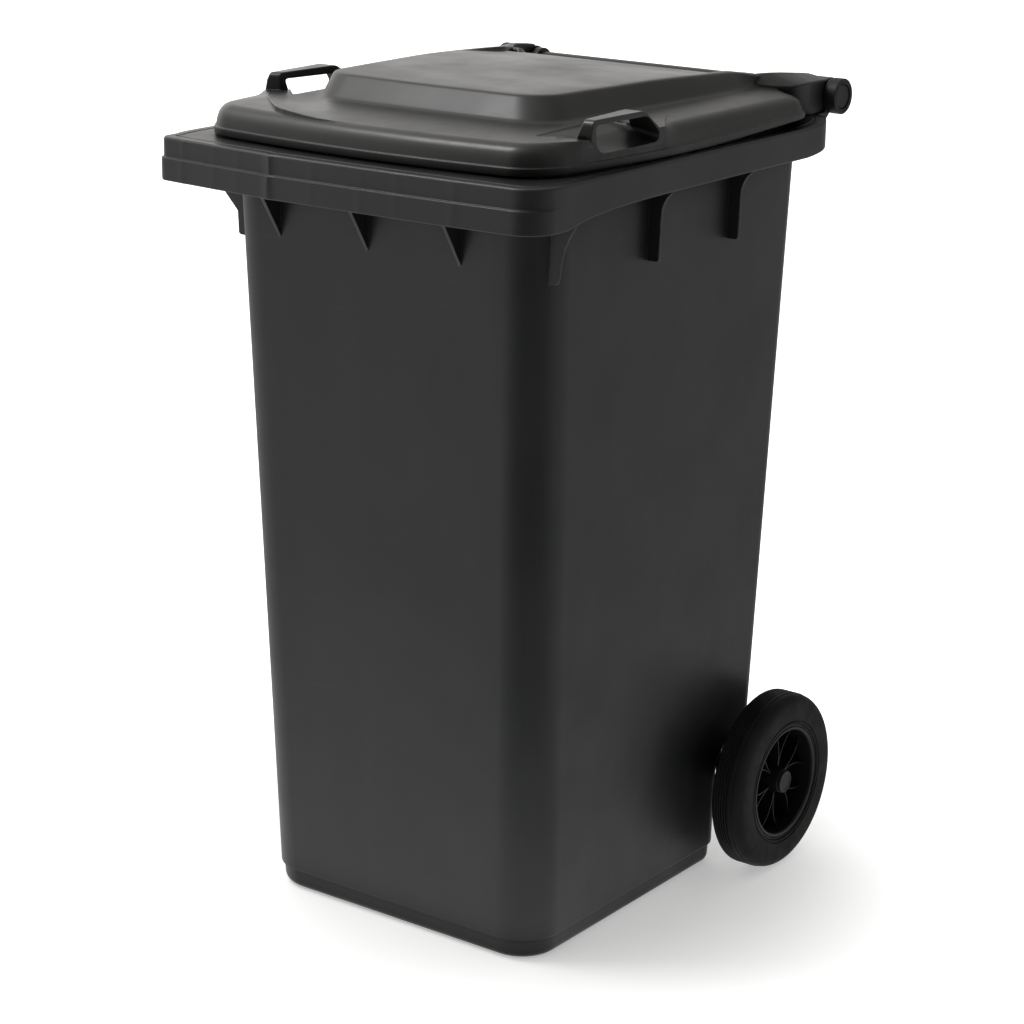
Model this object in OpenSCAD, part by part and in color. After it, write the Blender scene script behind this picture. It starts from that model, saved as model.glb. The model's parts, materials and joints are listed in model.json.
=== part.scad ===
// Two-wheeled refuse bin of the 240 litre class: a tapered body with a comb rim,
// a hinged lid with two loop handles, and two rubber-tyred wheels on a steel axle.
// Millimetres, +Z up, front towards -Y, origin on the ground under the middle of the bin.

/* [Body] */
// Width of the rim across the two side skirts
rim_width = 580; // [576:1:584]
// Height of the flat top of the rim above the ground
rim_height = 1000; // [996:1:1004]
// Distance from the middle of the bin to the front of the comb bar
comb_front = 364; // [362:1:366]
// Distance from the middle of the bin to the back edge of the rim
rim_rear = 296; // [294:1:298]
// Half width of the body at the ground
base_half_width = 219; // [217:1:220]
// Half width of the body at the rim
top_half_width = 244; // [242:1:246]
// Distance from the middle to the front wall at the ground
base_front = 246; // [244:1:248]
// Distance from the middle to the front wall at the rim
top_front = 281; // [279:1:283]
// Distance from the middle to the back wall at the ground
base_rear = 253; // [251:1:255]
// Distance from the middle to the back wall at the rim
top_rear = 292; // [291:1:293]
// Wall thickness of the moulded body
wall = 4; // [3.5:0.1:4.5]
// Depth of the side skirts of the rim
skirt_depth = 38; // [34:1:42]
// Depth of the comb bar across the front
comb_depth = 53; // [50:1:56]

/* [Lid] */
// Gap between the rim and the lip of the lid
lid_gap = 2; // [1.5:0.1:3]
// Height of the raised panel of the lid above the rim
panel_height = 70; // [68:1:72]
// Half width of the raised panel at its foot
panel_half_width = 184; // [180:1:188]
// Wall thickness of the moulded lid
lid_wall = 4; // [3.5:0.1:4.5]
// Height of the loop handles above the rim
loop_height = 59; // [57:1:61]

/* [Hinge] */
// Distance of the hinge axis behind the middle of the bin
hinge_y = 341; // [340:1:342]
// Height of the hinge axis above the rim
hinge_rise = 25; // [24:1:26]
// Radius of the hinge pin
pin_radius = 9; // [8:0.5:10]
// Radius of the pin head and of the lid eyes
eye_radius = 23; // [22:0.5:23]
// Radial clearance of every turning fit
running_gap = 0.05; // [0.03:0.01:0.08]

/* [Wheels] */
// Outside radius of the tyre
tyre_radius = 120; // [118:1:122]
// Distance of the axle behind the middle of the bin
axle_y = 221; // [219:1:223]
// Distance from the middle to the outer face of the wheel
wheel_face = 302; // [300:1:304]
// Width of the tyre
tyre_width = 46; // [44:1:48]
// Radius of the bead where the tyre meets the rim
bead_radius = 80; // [78:1:82]
// Radius of the axle
axle_radius = 10; // [9.5:0.5:10.5]
// Number of spoke pairs in each wheel
spoke_pairs = 6; // [5:1:7]
// Travel of the sprung wheel latch
latch_travel = 3; // [2.5:0.5:3.5]

/* [Hidden] */
$fn = 96;

// A small overlap that makes cuts run clean through a face
cut = 1;
plastic = [0.23, 0.235, 0.235];
black = [0.09, 0.09, 0.09];

// Body
front_corner = 56;
rear_corner = 30;
base_inset = 4;
base_band = 28;
floor_thickness = 5;
rim_plate = 6;
rim_wall = 4;
rim_corner = 36;
comb_crease = 100;
comb_set_back = 14;
tier_height = 25;
tier_step = 3;
rib_thickness = 5;
rib_bottom = rim_height - 130;
rib_reach = 259;
side_rib_y = [-58, 120];
corner_rib_reach = 253;
corner_rib_right_y = -253;
corner_rib_left_y = -235;
gusset_x = [-152.5, -15.5, 123.5];
gusset_depth = 38;
gusset_bottom = rim_height - 115;

// Recess in the lower back of the body, around the axle and wheels
recess_y = 187;
recess_shoulder = 155;
recess_top = 206;
bearer_x = [-217, -73, 73, 217];
bearer_width = 8;
bearer_radius = 22;
axle_z = tyre_radius;

// Hinge
hinge_z = rim_height + hinge_rise;
outer_ear = [254, 257];
inner_ear = [205, 216];
lid_eye = [217, 253];
ear_radius = 21;
pin_head = 12;
pin_tail = 200;
plug_radius = 5;
plug_head = 15.5;
handle_radius = 16;
handle_wall = 3.5;

// Lid
lid_bottom = rim_height + lid_gap;
lip_height = 10;
lid_half_width = 282;
lid_front = 324;
lid_front_bow = 14;
lid_front_corner = 48;
lid_rear = 265;
lid_rear_corner = 44;
shoulder_z = rim_height + 39;
panel_foot_z = rim_height + 42;
panel_front_z = rim_height + panel_height;
panel_rear_z = panel_front_z - 8;
panel_front = 195;
panel_rear = 240;
panel_slope = 26;
loop_x = [245, 267];
loop_length = 138;
loop_front_left = -163;
loop_front_right = -222;
scoop_floor = rim_height + 18;

// Wheel
groove_count = 5;
groove_pitch = 4;
groove_size = 1.6;
rim_inner = 71;
hub_radius = 20;
hub_inner_x = 226;
hub_outer_x = 296;
dish_x = 262;
spoke_face_x = 286;
spoke_depth = 22;
spoke_thickness = 2.4;
spoke_bow = 60;
cap_radius = 16;
axle_end = 294;

// Latch
latch_x = 236;
latch_radius = 4;
collar_radius = 6.2;
stem_radius = 2.5;
knob_radius = 5;
groove_floor = 8;
tower_radius = 9.5;
tower_top = 46;
chamber_radius = 6.5;
chamber_floor = 23.5;
collar_top = 27;
cap_thickness = 4;
chamber_top = tower_top - cap_thickness;
wire_radius = 0.7;
coil_turns = 5;

// Half width, front and back of the body at a height above the ground
function at_height(low, high, z) = low + (high - low) * z / rim_height;
function body_half(z) = at_height(base_half_width, top_half_width, z);
function body_front(z) = at_height(base_front, top_front, z);
function body_rear(z) = at_height(base_rear, top_rear, z);

// Copies its children to the right (+X) and mirrored to the left (-X)
module both_sides() {
    children();
    mirror([1, 0, 0]) children();
}

// Draws its children on the left if side is -1 and on the right if side is 1
module on_side(side) {
    if (side < 0) mirror([1, 0, 0]) children();
    else children();
}

// Extrudes a Y-Z outline along X, from x0 to x1
module across(x0, x1) {
    translate([x0, 0, 0]) rotate([90, 0, 90]) linear_extrude(x1 - x0) children();
}

// Extrudes an X-Z outline along Y, from y0 to y1
module along(y0, y1) {
    translate([0, y1, 0]) rotate([90, 0, 0]) linear_extrude(y1 - y0) children();
}

// A cylinder along X through a point in the Y-Z plane
module bar(x0, x1, y, z, r) {
    translate([x0, y, z]) rotate([0, 90, 0]) cylinder(h = x1 - x0, r = r);
}

// Rectangle with rounded corners, with its front at -front and its back at +rear
module plan(half, front, rear, rf, rr) {
    translate([-half, -front + rf]) square([2 * half, front - rf + rear - rr]);
    translate([-half + rf, -front]) square([2 * (half - rf), rf + cut]);
    translate([-half + rr, rear - rr - cut]) square([2 * (half - rr), rr + cut]);
    for (s = [-1, 1]) {
        translate([s * (half - rf), -front + rf]) circle(rf);
        translate([s * (half - rr), rear - rr]) circle(rr);
    }
}

// Four upright corner posts of the tapered body, inset from its outer faces
module corner_posts(z, inset) {
    rf = front_corner - min(inset, rear_corner - 4);
    rr = rear_corner - min(inset, rear_corner - 4);
    half = body_half(z) - inset;
    for (s = [-1, 1]) {
        translate([s * (half - rf), -body_front(z) + inset + rf, z]) cylinder(h = 0.5, r = rf, $fn = 48);
        translate([s * (half - rr), body_rear(z) - inset - rr, z]) cylinder(h = 0.5, r = rr, $fn = 48);
    }
}

// Outside of the body: the main taper and the slightly narrower band at its base
module body_block() {
    hull() {
        corner_posts(base_band, 0);
        corner_posts(rim_height - 0.5, 0);
    }
    hull() {
        corner_posts(0, 3 * base_inset);
        corner_posts(2.5 * base_inset, base_inset);
        corner_posts(base_band, base_inset);
    }
}

// Inside of the body, open at the top
module cavity() {
    hull() {
        corner_posts(floor_thickness, 5 * base_inset);
        corner_posts(base_band + wall, wall);
        corner_posts(rim_height + cut, wall);
    }
}

// Side view of the recess in the lower back, grown inwards by a wall thickness
module recess_outline(grow) {
    back = rim_rear + 60;
    polygon([
        [recess_y - grow, -cut], [recess_y - grow, recess_shoulder + 0.4 * grow],
        [recess_y + 20 - 0.7 * grow, recess_shoulder + 26 + 0.7 * grow],
        [recess_y + 52, recess_top - 4 + grow], [rim_rear - 30, recess_top + 6 + grow],
        [back, recess_top + 12 + grow], [back, -cut]
    ]);
}

// Plan of the rim, with the ends of the comb bar set back from its middle
module rim_plan(inset) {
    intersection() {
        plan(rim_width / 2 - inset, comb_front - inset, rim_rear - inset, rim_corner - inset, rim_corner - inset);
        polygon([
            [-rim_width, inset - comb_front + comb_set_back],
            [-comb_crease, inset - comb_front], [comb_crease, inset - comb_front],
            [rim_width, inset - comb_front + comb_set_back],
            [rim_width, rim_rear], [-rim_width, rim_rear]
        ]);
    }
}

// Rim: a top plate with a skirt hanging from its edge, deeper and stepped at the front
module rim() {
    comb_zone = front_corner + 30;
    difference() {
        union() {
            translate([0, 0, rim_height - tier_height]) linear_extrude(tier_height) rim_plan(tier_step);
            translate([0, 0, rim_height - skirt_depth]) linear_extrude(skirt_depth - tier_height)
                rim_plan(tier_step);
            translate([0, 0, rim_height - comb_depth]) linear_extrude(comb_depth - tier_height)
                intersection() {
                    rim_plan(0);
                    translate([-rim_width, -comb_front]) square([2 * rim_width, comb_zone]);
                }
            translate([0, 0, rim_height - skirt_depth]) linear_extrude(skirt_depth)
                intersection() {
                    rim_plan(0);
                    translate([-rim_width, comb_zone - comb_front]) square([2 * rim_width, 2 * rim_rear]);
                }
        }
        translate([0, 0, rim_height - comb_depth - cut])
            linear_extrude(comb_depth + cut - rim_plate) rim_plan(tier_step + rim_wall);
    }
}

// One side rib: upright below, flaring out to the skirt in a hollow curve
module side_rib_outline(reach) {
    root = body_half(rib_bottom) - 3 * wall;
    flare = rim_width / 2 - reach + 6;
    flare_z = rim_height - 75;
    difference() {
        translate([root, rib_bottom])
            square([rim_width / 2 - 8 - root, rim_height - rim_plate / 2 - rib_bottom]);
        translate([reach, rib_bottom - cut]) square([2 * flare, flare_z - rib_bottom + cut]);
        translate([reach + flare, flare_z]) circle(flare);
    }
}

module side_rib(y, reach) {
    along(y - rib_thickness / 2, y + rib_thickness / 2) side_rib_outline(reach);
}

// One triangular gusset under the comb bar
module gusset_outline() {
    wall_y = -body_front(gusset_bottom);
    polygon([
        [wall_y + wall, rim_height - rim_plate / 2], [-comb_front + 8, rim_height - rim_plate / 2],
        [wall_y - gusset_depth - 2, rim_height - comb_depth], [wall_y - 1, gusset_bottom],
        [wall_y + wall, gusset_bottom]
    ]);
}

// Upright inner ear that carries the tail of a hinge pin behind the rim
module inner_ear_outline() {
    translate([hinge_y, hinge_z]) circle(ear_radius);
    polygon([
        [top_rear - wall, rim_height - rim_plate / 2], [top_rear - wall, rim_height - 62],
        [top_rear + 5, rim_height - 62], [hinge_y + 13, hinge_z - 17],
        [hinge_y - 14, hinge_z + 15], [rim_rear - 4, rim_height]
    ]);
}

// Thin outer ear: a disc under the head of the pin, on a strut that rises from the rear skirt
module outer_ear_outline() {
    translate([hinge_y, hinge_z]) circle(eye_radius - 0.5);
    polygon([
        [rim_rear - 3, rim_height], [rim_rear - 3, rim_height - skirt_depth + 4],
        [hinge_y + 7, hinge_z - 8], [hinge_y, hinge_z], [hinge_y - 20, rim_height + 4]
    ]);
}

// Round lug that carries the axle, joined forward to the recess wall
module bearer_outline() {
    translate([axle_y, axle_z]) circle(bearer_radius);
    polygon([
        [recess_y, axle_z - 34], [axle_y + 12, axle_z - 18.5],
        [axle_y + 12, axle_z + 18.5], [recess_y, axle_z + 34]
    ]);
}

module bin_body() {
    color(plastic) difference() {
        union() {
            difference() {
                union() {
                    body_block();
                    rim();
                }
                across(-rim_width, rim_width) recess_outline(0);
            }
            for (y = side_rib_y) both_sides() side_rib(y, rib_reach);
            on_side(1) side_rib(corner_rib_right_y, corner_rib_reach);
            on_side(-1) side_rib(corner_rib_left_y, corner_rib_reach);
            for (x = gusset_x) across(x - rib_thickness / 2, x + rib_thickness / 2) gusset_outline();
            both_sides() across(inner_ear[0], inner_ear[1]) inner_ear_outline();
            both_sides() across(outer_ear[0], outer_ear[1]) outer_ear_outline();
            bar(-inner_ear[1], inner_ear[1], hinge_y, hinge_z, handle_radius);
            for (x = bearer_x) across(x - bearer_width / 2, x + bearer_width / 2) bearer_outline();
        }
        difference() {
            cavity();
            across(-rim_width, rim_width) recess_outline(wall);
        }
        // Hollow underside of the handle bar
        bar(-inner_ear[0], inner_ear[0], hinge_y, hinge_z, handle_radius - handle_wall);
        translate([-inner_ear[0], hinge_y - 7, hinge_z - handle_radius - cut])
            cube([2 * inner_ear[0], 14, handle_radius]);
        // Holes for the hinge pins and the axle
        both_sides() bar(inner_ear[0] - cut, outer_ear[1] + cut, hinge_y, hinge_z, pin_radius + running_gap);
        bar(-rim_width / 2, rim_width / 2, axle_y, axle_z, axle_radius + running_gap);
    }
}

// Posts round the lid at one height, inset from its lip, with a slightly bowed front
module lid_posts(z, h, inset) {
    rf = lid_front_corner - 0.5 * inset;
    rr = lid_rear_corner;
    front_half = lid_half_width - 12;
    for (i = [-2 : 2]) {
        x = i / 2 * (front_half - inset - rf);
        bow = lid_front_bow * (i / 2) ^ 2;
        translate([x, -lid_front + bow + inset + rf, z]) cylinder(h = h, r = rf, $fn = 48);
    }
    for (s = [-1, 1]) {
        translate([s * (lid_half_width - 1 - inset - rr), -40, z]) cylinder(h = h, r = rr, $fn = 32);
        translate([s * (lid_half_width - inset - rr), lid_rear - 0.4 * inset - rr, z])
            cylinder(h = h, r = rr, $fn = 32);
    }
}

// Posts of the raised panel: its foot on the shoulder and its top, higher at the front
module panel_posts(inset) {
    foot_r = 50;
    top_r = 34;
    half = panel_half_width - inset;
    for (s = [-1, 1]) {
        translate([s * (half - foot_r), -panel_front + inset + foot_r, panel_foot_z - 10 - inset])
            cylinder(h = 10, r = foot_r, $fn = 48);
        translate([s * (half - foot_r), panel_rear - inset - foot_r, panel_foot_z - 10 - inset])
            cylinder(h = 10, r = foot_r, $fn = 48);
        translate([s * (half - panel_slope - top_r), -panel_front + panel_slope + inset + top_r,
            panel_front_z - 1 - inset]) cylinder(h = 1, r = top_r, $fn = 48);
        translate([s * (half - panel_slope - top_r), panel_rear - inset - top_r,
            panel_rear_z - 1 - inset]) cylinder(h = 1, r = top_r, $fn = 48);
    }
}

// Solid bulk of the lid, or the hollow below its skin when inset by the wall
module lid_bulk(inset) {
    hull() {
        lid_posts(lid_bottom - (inset > 0 ? cut : 0), lip_height - inset / 2, inset);
        lid_posts(shoulder_z - 1 - inset, 1, 18 + inset / 2);
    }
    hull() panel_posts(inset);
}

// Copies its children to each loop handle; the left handle sits further back than the right
module at_loops() {
    mirror([1, 0, 0]) translate([0, loop_front_left, 0]) children();
    translate([0, loop_front_right, 0]) children();
}

// The scoop under a loop handle, cut into the side and shoulder of the lid
module scoop(grow) {
    along(6 - grow, loop_length - 12 + grow) polygon([
        [rim_width / 2 + 10, scoop_floor - grow], [272, scoop_floor - grow],
        [240, scoop_floor + 8 - grow], [233 - grow, shoulder_z - 4 - grow],
        [233 - grow, rim_height + panel_height], [rim_width / 2 + 10, rim_height + panel_height]
    ]);
}

// Loop handle seen from the side, with its front foot at 0
module loop_outline() {
    top = rim_height + loop_height;
    difference() {
        polygon([
            [-2, scoop_floor], [3, top], [loop_length - 30, top],
            [loop_length - 5, shoulder_z], [loop_length, scoop_floor]
        ]);
        polygon([
            [10, scoop_floor - cut], [7, top - 5], [loop_length - 30, top - 5],
            [loop_length - 13, scoop_floor - cut]
        ]);
    }
}

// Hinge arm seen from the side, from the shoulder of the lid over the eye
module arm_outline() {
    translate([hinge_y, hinge_z]) circle(eye_radius);
    polygon([
        [118, shoulder_z - 6], [160, shoulder_z + 3], [hinge_y - 23, hinge_z + 27],
        [hinge_y, hinge_z + eye_radius], [hinge_y, hinge_z],
        [hinge_y - 25, lid_bottom + 2], [lid_rear - 10, lid_bottom + 2],
        [lid_rear - 10, shoulder_z - 6]
    ]);
}

module lid() {
    color(plastic) difference() {
        union() {
            difference() {
                lid_bulk(0);
                difference() {
                    lid_bulk(lid_wall);
                    at_loops() scoop(lid_wall);
                }
                at_loops() scoop(0);
            }
            at_loops() across(loop_x[0], loop_x[1]) loop_outline();
            both_sides() across(lid_eye[0], lid_eye[1]) arm_outline();
        }
        // Hollow underside of each arm, short of the eye
        both_sides() translate([lid_eye[0] + lid_wall, lid_rear - 30, lid_bottom - cut])
            cube([lid_eye[1] - lid_eye[0] - 2 * lid_wall, 70, shoulder_z - lid_bottom - 1]);
        both_sides() bar(lid_eye[0] - cut, lid_eye[1] + cut, hinge_y, hinge_z, pin_radius + running_gap);
    }
}

// Hinge pin: a dished head outside the ear and a hollow shaft with a split tail
module hinge_pin(side) {
    head_x = outer_ear[1];
    color(black) on_side(side) difference() {
        union() {
            bar(head_x, head_x + pin_head, hinge_y, hinge_z, eye_radius);
            bar(pin_tail, head_x + cut, hinge_y, hinge_z, pin_radius);
        }
        bar(head_x + pin_head - 4, head_x + pin_head + cut, hinge_y, hinge_z, plug_head + 0.5);
        bar(pin_tail - cut, head_x + pin_head, hinge_y, hinge_z, plug_radius);
        translate([pin_tail - cut, hinge_y - 1, hinge_z - pin_radius - cut])
            cube([16, 2, 2 * (pin_radius + cut)]);
    }
}

// Plug that fills the dished head and spreads the tail of the pin
module hinge_plug(side) {
    seat_x = outer_ear[1] + pin_head - 4;
    color(plastic) on_side(side) {
        bar(seat_x, seat_x + 2.5, hinge_y, hinge_z, plug_head);
        bar(pin_tail + 2, seat_x + 0.5, hinge_y, hinge_z, plug_radius);
    }
}

// Steel axle with a groove for each latch and chamfered ends
module axle() {
    color("silver") difference() {
        union() {
            bar(-axle_end + 2, axle_end - 2, axle_y, axle_z, axle_radius);
            both_sides() translate([axle_end - 2, axle_y, axle_z]) rotate([0, 90, 0])
                cylinder(h = 2, r1 = axle_radius, r2 = axle_radius - 2);
        }
        both_sides() difference() {
            bar(latch_x - 5, latch_x + 5, axle_y, axle_z, axle_radius + cut);
            bar(latch_x - 6, latch_x + 6, axle_y, axle_z, groove_floor);
        }
    }
}

module axle_washer(side) {
    color("silver") on_side(side) difference() {
        bar(222, 224.5, axle_y, axle_z, 17);
        bar(220, 228, axle_y, axle_z, axle_radius + running_gap);
    }
}

// Turns a wheel outline, drawn as radius across and distance outwards up, about the axle
module turned() {
    translate([0, axle_y, axle_z]) rotate([0, 90, 0]) rotate_extrude() children();
}

module wheel_rim(side) {
    color(black) on_side(side) difference() {
        union() {
            turned() {
                translate([rim_inner, dish_x]) square([bead_radius - rim_inner, wheel_face - 2 - dish_x]);
                translate([0, dish_x]) square([rim_inner + cut, 4]);
                translate([0, hub_inner_x]) square([hub_radius, hub_outer_x - hub_inner_x]);
            }
            translate([spoke_face_x - spoke_depth, axle_y, axle_z]) rotate([0, 90, 0])
                linear_extrude(spoke_depth) spokes();
            translate([latch_x, axle_y, axle_z]) cylinder(h = tower_top, r = tower_radius);
        }
        bar(hub_inner_x - cut, axle_end + cut, axle_y, axle_z, axle_radius + running_gap);
        bar(axle_end, wheel_face, axle_y, axle_z, cap_radius - 3);
        translate([latch_x, axle_y, axle_z]) cylinder(h = chamber_floor + cut, r = latch_radius + running_gap);
        translate([latch_x, axle_y, axle_z + chamber_floor]) cylinder(h = tower_top, r = chamber_radius);
    }
}

// Pairs of bowed spokes that leave the hub together and part towards the rim
module spokes() {
    reach = rim_inner + 2;
    for (i = [0 : spoke_pairs - 1]) rotate(360 / spoke_pairs * i) for (s = [0, 1]) mirror([0, s])
        intersection() {
            difference() {
                circle(reach);
                circle(hub_radius - 2);
            }
            translate([hub_radius - 4, spoke_bow + 1]) difference() {
                circle(spoke_bow);
                circle(spoke_bow - spoke_thickness);
            }
            square([reach, reach]);
        }
}

// Solid rubber tyre with rounded shoulders and grooves round the inner half of its tread
module tyre(side) {
    inner_x = wheel_face - tyre_width;
    shoulder = 12;
    tread = 8;
    color(black) on_side(side) turned() difference() {
        union() {
            translate([bead_radius, inner_x]) square([tyre_radius - tread - bead_radius, tyre_width]);
            translate([bead_radius, inner_x + tread])
                square([tyre_radius - bead_radius, tyre_width - tread - shoulder]);
            translate([bead_radius, inner_x + tread])
                square([tyre_radius - shoulder - bead_radius, tyre_width - tread]);
            translate([tyre_radius - tread, inner_x + tread]) circle(tread);
            translate([tyre_radius - shoulder, wheel_face - shoulder]) circle(shoulder);
        }
        translate([tyre_radius - shoulder, wheel_face - shoulder]) difference() {
            square(shoulder + cut);
            circle(shoulder);
        }
        for (i = [0 : groove_count - 1])
            translate([tyre_radius - groove_size, inner_x + 7 + groove_pitch * i])
                square([groove_size + cut, groove_size]);
        translate([bead_radius + 2, wheel_face - 2]) square([3, 2 + cut]);
    }
}

// Round cap that closes the outer end of the hub
module hub_cap(side) {
    color(plastic) on_side(side) {
        bar(hub_outer_x, wheel_face - 2, axle_y, axle_z, cap_radius);
        bar(axle_end + 0.5, hub_outer_x + 0.5, axle_y, axle_z, cap_radius - 3);
    }
}

// Sprung latch that drops into the groove of the axle and is pulled out by its knob
module wheel_latch(side) {
    knob_z = tower_top + 5;
    color(plastic) on_side(side) translate([latch_x, axle_y, axle_z]) {
        translate([0, 0, groove_floor + 0.3]) cylinder(h = collar_top - groove_floor - 0.3, r = latch_radius);
        translate([0, 0, collar_top - 3]) cylinder(h = 3, r = collar_radius);
        translate([0, 0, collar_top - 1]) cylinder(h = knob_z - collar_top + 1, r = stem_radius);
        translate([0, 0, knob_z]) cylinder(h = 4, r = knob_radius);
    }
}

module latch_cap(side) {
    color(plastic) on_side(side) translate([latch_x, axle_y, axle_z + chamber_top]) difference() {
        cylinder(h = cap_thickness, r = chamber_radius);
        translate([0, 0, -cut]) cylinder(h = cap_thickness + 2 * cut, r = stem_radius + running_gap);
    }
}

// Round wire wound on a helix, standing on its start point
module coil(radius, wire, height, turns) {
    steps = 16 * turns;
    facets = 8;
    rise = height - 2 * wire;
    function section(i, j) = let (a = 360 * turns * i / steps, b = 360 * j / facets)
        [(radius + wire * cos(b)) * cos(a), (radius + wire * cos(b)) * sin(a),
            wire + rise * i / steps + wire * sin(b)];
    points = [for (i = [0 : steps]) for (j = [0 : facets - 1]) section(i, j)];
    sides = [for (i = [0 : steps - 1]) for (j = [0 : facets - 1]) let (k = (j + 1) % facets)
        [i * facets + j, (i + 1) * facets + j, (i + 1) * facets + k, i * facets + k]];
    start = [[for (j = [0 : facets - 1]) j]];
    end = [[for (j = [0 : facets - 1]) steps * facets + facets - 1 - j]];
    polyhedron(points = points, faces = concat(sides, start, end), convexity = 6);
}

module latch_spring(side) {
    color("silver") on_side(side) translate([latch_x, axle_y, axle_z + collar_top + 0.05])
        coil(4.6, wire_radius, chamber_top - collar_top - 0.1, coil_turns);
}

bin_body();
lid();
hinge_pin(-1);  // hinge_pin_left
hinge_pin(1);  // hinge_pin_right
hinge_plug(-1);  // hinge_plug_left
hinge_plug(1);  // hinge_plug_right
axle();
axle_washer(-1);  // axle_washer_left
axle_washer(1);  // axle_washer_right
wheel_rim(-1);  // wheel_rim_left
wheel_rim(1);  // wheel_rim_right
tyre(-1);  // tyre_left
tyre(1);  // tyre_right
hub_cap(-1);  // hub_cap_left
hub_cap(1);  // hub_cap_right
wheel_latch(-1);  // wheel_latch_left
wheel_latch(1);  // wheel_latch_right
latch_spring(-1);  // latch_spring_left
latch_spring(1);  // latch_spring_right
latch_cap(-1);  // latch_cap_left
latch_cap(1);  // latch_cap_right
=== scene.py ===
"""Wheelie bin: the looks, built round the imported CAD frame."""

import json
import math
from contextlib import contextmanager

import bmesh
import bpy
import numpy as np
from mathutils import Matrix, Vector


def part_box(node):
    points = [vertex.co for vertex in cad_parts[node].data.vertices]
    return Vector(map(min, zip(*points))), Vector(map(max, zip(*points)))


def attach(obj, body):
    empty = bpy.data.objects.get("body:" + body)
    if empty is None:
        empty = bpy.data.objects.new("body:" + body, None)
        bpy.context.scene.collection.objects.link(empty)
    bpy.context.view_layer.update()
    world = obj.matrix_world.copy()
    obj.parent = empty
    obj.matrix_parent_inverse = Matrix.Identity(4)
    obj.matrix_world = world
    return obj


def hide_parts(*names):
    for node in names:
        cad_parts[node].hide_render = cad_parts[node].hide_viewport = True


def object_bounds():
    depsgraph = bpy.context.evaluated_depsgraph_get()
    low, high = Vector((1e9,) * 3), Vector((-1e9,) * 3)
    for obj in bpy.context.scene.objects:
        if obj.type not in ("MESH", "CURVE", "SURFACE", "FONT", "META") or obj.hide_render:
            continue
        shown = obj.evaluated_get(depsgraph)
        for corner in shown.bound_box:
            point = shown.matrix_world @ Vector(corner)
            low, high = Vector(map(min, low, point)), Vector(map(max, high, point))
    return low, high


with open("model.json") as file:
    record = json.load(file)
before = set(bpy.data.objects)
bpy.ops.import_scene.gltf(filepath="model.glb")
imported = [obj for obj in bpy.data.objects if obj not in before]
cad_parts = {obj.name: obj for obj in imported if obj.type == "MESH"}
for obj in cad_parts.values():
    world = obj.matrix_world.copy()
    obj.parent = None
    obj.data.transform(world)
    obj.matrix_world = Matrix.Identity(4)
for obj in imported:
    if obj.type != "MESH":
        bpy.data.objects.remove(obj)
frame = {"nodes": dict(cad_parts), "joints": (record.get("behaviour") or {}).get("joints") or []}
CAD_LOW, CAD_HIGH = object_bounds()

# -------- sizes
# Lengths are in millimetres until a mesh is made, and in metres after that.

MM = 0.001


def node_box(node):
    """Lowest and highest corner of a CAD node, in millimetres."""
    low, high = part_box(node)
    return np.array(low) / MM, np.array(high) / MM


def joint_place(name):
    """The point a joint turns about, in millimetres."""
    joint = next(j for j in frame["joints"] if j["name"] == name)
    return np.array(joint["pos_m"]) / MM


SIDES = {-1: "left", 1: "right"}
HINGE = joint_place("lid_hinge")
AXLE = joint_place("wheel_right_spin")
TYRE_LOW, TYRE_HIGH = node_box("tyre_right")
WHEEL_FACE = node_box("wheel_rim_right")[1][0]

# Heights of the lid's lower edge and of the body's rim, and the rim's extent
LID_Z = node_box("lid")[0][2]
RIM_Z = LID_Z - 2
RIM_HALF = node_box("bin_body")[1][0]
COMB_Y = CAD_LOW[1] / MM
RIM_REAR = HINGE[1] - 45
EYE_R = CAD_HIGH[1] / MM - HINGE[1]

# Body: sizes at the ground and at the rim
BASE = {"half": 219, "front": 246, "rear": 253}
TOP = {"half": 244, "front": 281, "rear": 292}
WALL = 4
FRONT_CORNER = 56
REAR_CORNER = 30
BAND_TOP = 27
COMB_DROP = 53
SKIRT_DROP = 38
TIER_DROP = 25
COMB_STEP = 3.2
RIB_HALF = 2.6

# Places along Y of the ribs, and along X of the gussets, the bearers and the bar's ends
SIDE_RIBS = (-58, 120)
LEFT_CORNER_RIB = -235
RIGHT_CORNER_RIB = (-250.4, -245.6)
GUSSETS = (-152.5, -15.5, 123.5)
BEARERS = (-217, -73, 73, 217)
BAR_HALF = 210

# Creases in the comb bar: the deep one, and each faint one's place and depth
CREASE_X = -96
FAINT_CREASES = ((-150, 0.9), (-190, 0.7), (-246, 1.0), (-30, 0.7), (44, 0.9), (96, 0.7), (176, 0.9))

# Recess in the lower back: distance of the back wall behind the middle, by height
RECESS = [(0, 187), (134, 188), (144, 191), (154, 198), (163, 207), (172, 219), (180, 234), (187, 250), (193, 268)]

# Lid, where a key of 1 is the right side and -1 the left
LIP = 10
LID = {"half": 281, "front": 324, "rear": 268, "r": 52}
PANEL_FOOT = {"half": 184, "front": 197, "rear": 254, "r": 52, "r_rear": 10, "widen": 20, "left": -2, "flare": 0}
PANEL_TOP = {"half": 157, "front": 172, "rear": 251, "r": 40, "r_rear": 8, "widen": 30, "left": 17, "flare": 13}
ARM_X = (217, 253)
INNER_EAR = (205, 216)
OUTER_EAR = (254, 257)
PIN_FACE = 272
LOOP_FRONT = {1: -222, -1: -161}
LOOP_FEET = {1: ((-5, 6, 5), (4, 16, 5)), -1: ((-3, 5, 3), (-8, -2, -4))}
LOOP_SILL = {1: 18.5, -1: 21}

# Wheels
LATCH_X = 236
GROOVES = 5
GROOVE_PITCH = 3.9
SPOKE_FROM, SPOKE_TO = 18, 72
SPOKE_HALF = 0.9

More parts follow.
